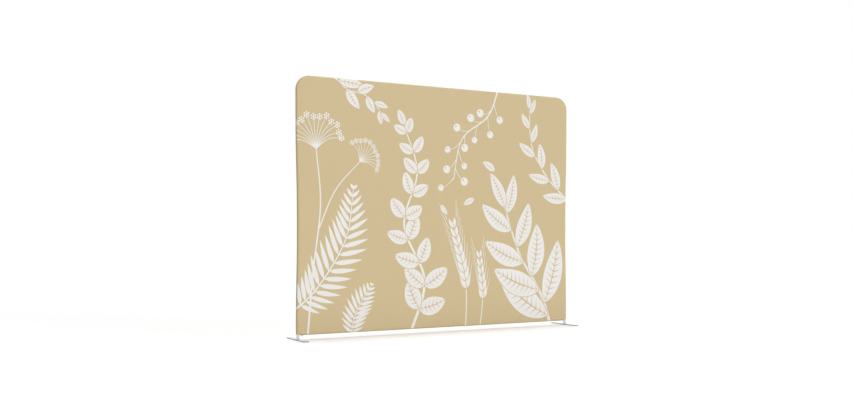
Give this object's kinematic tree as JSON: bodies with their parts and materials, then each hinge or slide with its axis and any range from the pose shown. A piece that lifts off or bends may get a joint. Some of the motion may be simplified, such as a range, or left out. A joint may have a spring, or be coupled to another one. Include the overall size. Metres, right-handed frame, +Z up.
{
  "type": "fabric room divider",
  "caption": "Free-standing tension-fabric wall: a round-cornered tube frame in a zipped, printed stretch cover, on flat feet that turn on pins under the uprights.",
  "frame": {"origin": "on the floor, midway between the feet and midway through the panel's thickness", "axes": "+X along the panel, towards its right as seen from the printed front; +Y out of its back; +Z up"},
  "size_m": [3.0232, 0.4, 2.344],
  "materials": {
    "printed_cloth": "matt knitted polyester, printed",
    "tube": "drawn, satin",
    "sleeve": "mill",
    "rivet": "mill",
    "spring_steel": "bright",
    "tee_plastic": "moulded, matt",
    "zip_tape": "woven tape",
    "zip_teeth": "nylon",
    "zip_metal": "dark brown lacquer",
    "foot_steel": "light grey powder coat",
    "pin_steel": "zinc plated",
    "washer_plastic": "nylon",
    "pad_rubber": "matt"
  },
  "bodies": {
    "wall": {"cover_front": "printed_cloth", "cover_back": "printed_cloth", "elbow_left": "tube", "elbow_right": "tube", "top_tube_left": "tube", "top_tube_right": "tube", "upright_left_upper": "tube", "upright_left_lower": "tube", "upright_right_upper": "tube", "upright_right_lower": "tube", "rail_left_outer": "tube", "rail_left_inner": "tube", "rail_right_inner": "tube", "rail_right_outer": "tube", "centre_post_lower": "tube", "centre_post_upper": "tube", "sleeve_top_left": "sleeve", "sleeve_top_right": "sleeve", "sleeve_shoulder_left": "sleeve", "sleeve_shoulder_right": "sleeve", "sleeve_upright_left": "sleeve", "sleeve_upright_right": "sleeve", "sleeve_rail_left": "sleeve", "sleeve_rail_right": "sleeve", "sleeve_centre_post": "sleeve", "rivets": "rivet", "button_springs": "spring_steel", "centre_tee_top": "tee_plastic", "centre_tee_bottom": "tee_plastic", "zip_tape_front": "zip_tape", "zip_tape_back": "zip_tape", "zip_teeth_front": "zip_teeth", "zip_teeth_back": "zip_teeth", "zip_stops": "zip_metal"},
    "foot_left": {"foot_plate_left": "foot_steel", "foot_pin_left": "pin_steel", "foot_screw_left": "pin_steel", "foot_washer_left": "washer_plastic", "foot_pads_left": "pad_rubber"},
    "foot_right": {"foot_plate_right": "foot_steel", "foot_pin_right": "pin_steel", "foot_screw_right": "pin_steel", "foot_washer_right": "washer_plastic", "foot_pads_right": "pad_rubber"},
    "slider": {"zip_slider": "zip_metal"},
    "pull": {"zip_pull": "zip_metal"},
    "button_top_left": {"button_top_left": "spring_steel"},
    "button_top_right": {"button_top_right": "spring_steel"},
    "button_shoulder_left": {"button_shoulder_left": "spring_steel"},
    "button_shoulder_right": {"button_shoulder_right": "spring_steel"},
    "button_upright_left": {"button_upright_left": "spring_steel"},
    "button_upright_right": {"button_upright_right": "spring_steel"},
    "button_rail_left": {"button_rail_left": "spring_steel"},
    "button_rail_right": {"button_rail_right": "spring_steel"},
    "button_base_left": {"button_base_left": "spring_steel"},
    "button_base_right": {"button_base_right": "spring_steel"},
    "button_centre_post": {"button_centre_post": "spring_steel"}
  },
  "joints": [
    {"name": "foot_left_turn", "type": "hinge", "parent": "wall", "child": "foot_left", "pos_m": [-1.4841, 0, 0.007], "axis": [0, 0, 1], "continuous": true},
    {"name": "foot_right_turn", "type": "hinge", "parent": "wall", "child": "foot_right", "pos_m": [1.4841, 0, 0.007], "axis": [0, 0, 1], "continuous": true},
    {"name": "zip_run", "type": "slide", "parent": "wall", "child": "slider", "axis": [1, 0, 0], "range_m": [0, 2.8882]},
    {"name": "pull_swing", "type": "hinge", "parent": "slider", "child": "pull", "pos_m": [-1.4441, 0, 0.0392], "axis": [0, 1, 0], "range_deg": [-85, 85]},
    {"name": "press_top_left", "type": "slide", "parent": "wall", "child": "button_top_left", "axis": [0, 0, 1], "range_m": [0, 0.004], "stiffness_N_per_m": 1500, "springref_m": -0.002, "deforming": ["button_springs"]},
    {"name": "press_top_right", "type": "slide", "parent": "wall", "child": "button_top_right", "axis": [0, 0, 1], "range_m": [0, 0.004], "stiffness_N_per_m": 1500, "springref_m": -0.002, "deforming": ["button_springs"]},
    {"name": "press_shoulder_left", "type": "slide", "parent": "wall", "child": "button_shoulder_left", "axis": [-1, 0, 0], "range_m": [0, 0.004], "stiffness_N_per_m": 1500, "springref_m": -0.002, "deforming": ["button_springs"]},
    {"name": "press_shoulder_right", "type": "slide", "parent": "wall", "child": "button_shoulder_right", "axis": [1, 0, 0], "range_m": [0, 0.004], "stiffness_N_per_m": 1500, "springref_m": -0.002, "deforming": ["button_springs"]},
    {"name": "press_upright_left", "type": "slide", "parent": "wall", "child": "button_upright_left", "axis": [-1, 0, 0], "range_m": [0, 0.004], "stiffness_N_per_m": 1500, "springref_m": -0.002, "deforming": ["button_springs"]},
    {"name": "press_upright_right", "type": "slide", "parent": "wall", "child": "button_upright_right", "axis": [1, 0, 0], "range_m": [0, 0.004], "stiffness_N_per_m": 1500, "springref_m": -0.002, "deforming": ["button_springs"]},
    {"name": "press_rail_left", "type": "slide", "parent": "wall", "child": "button_rail_left", "axis": [0, 0, -1], "range_m": [0, 0.004], "stiffness_N_per_m": 1500, "springref_m": -0.002, "deforming": ["button_springs"]},
    {"name": "press_rail_right", "type": "slide", "parent": "wall", "child": "button_rail_right", "axis": [0, 0, -1], "range_m": [0, 0.004], "stiffness_N_per_m": 1500, "springref_m": -0.002, "deforming": ["button_springs"]},
    {"name": "press_base_left", "type": "slide", "parent": "wall", "child": "button_base_left", "axis": [0, 0, -1], "range_m": [0, 0.004], "stiffness_N_per_m": 1500, "springref_m": -0.002, "deforming": ["button_springs"]},
    {"name": "press_base_right", "type": "slide", "parent": "wall", "child": "button_base_right", "axis": [0, 0, -1], "range_m": [0, 0.004], "stiffness_N_per_m": 1500, "springref_m": -0.002, "deforming": ["button_springs"]},
    {"name": "press_centre_post", "type": "slide", "parent": "wall", "child": "button_centre_post", "axis": [-1, 0, 0], "range_m": [0, 0.004], "stiffness_N_per_m": 1500, "springref_m": -0.002, "deforming": ["button_springs"]}
  ]
}
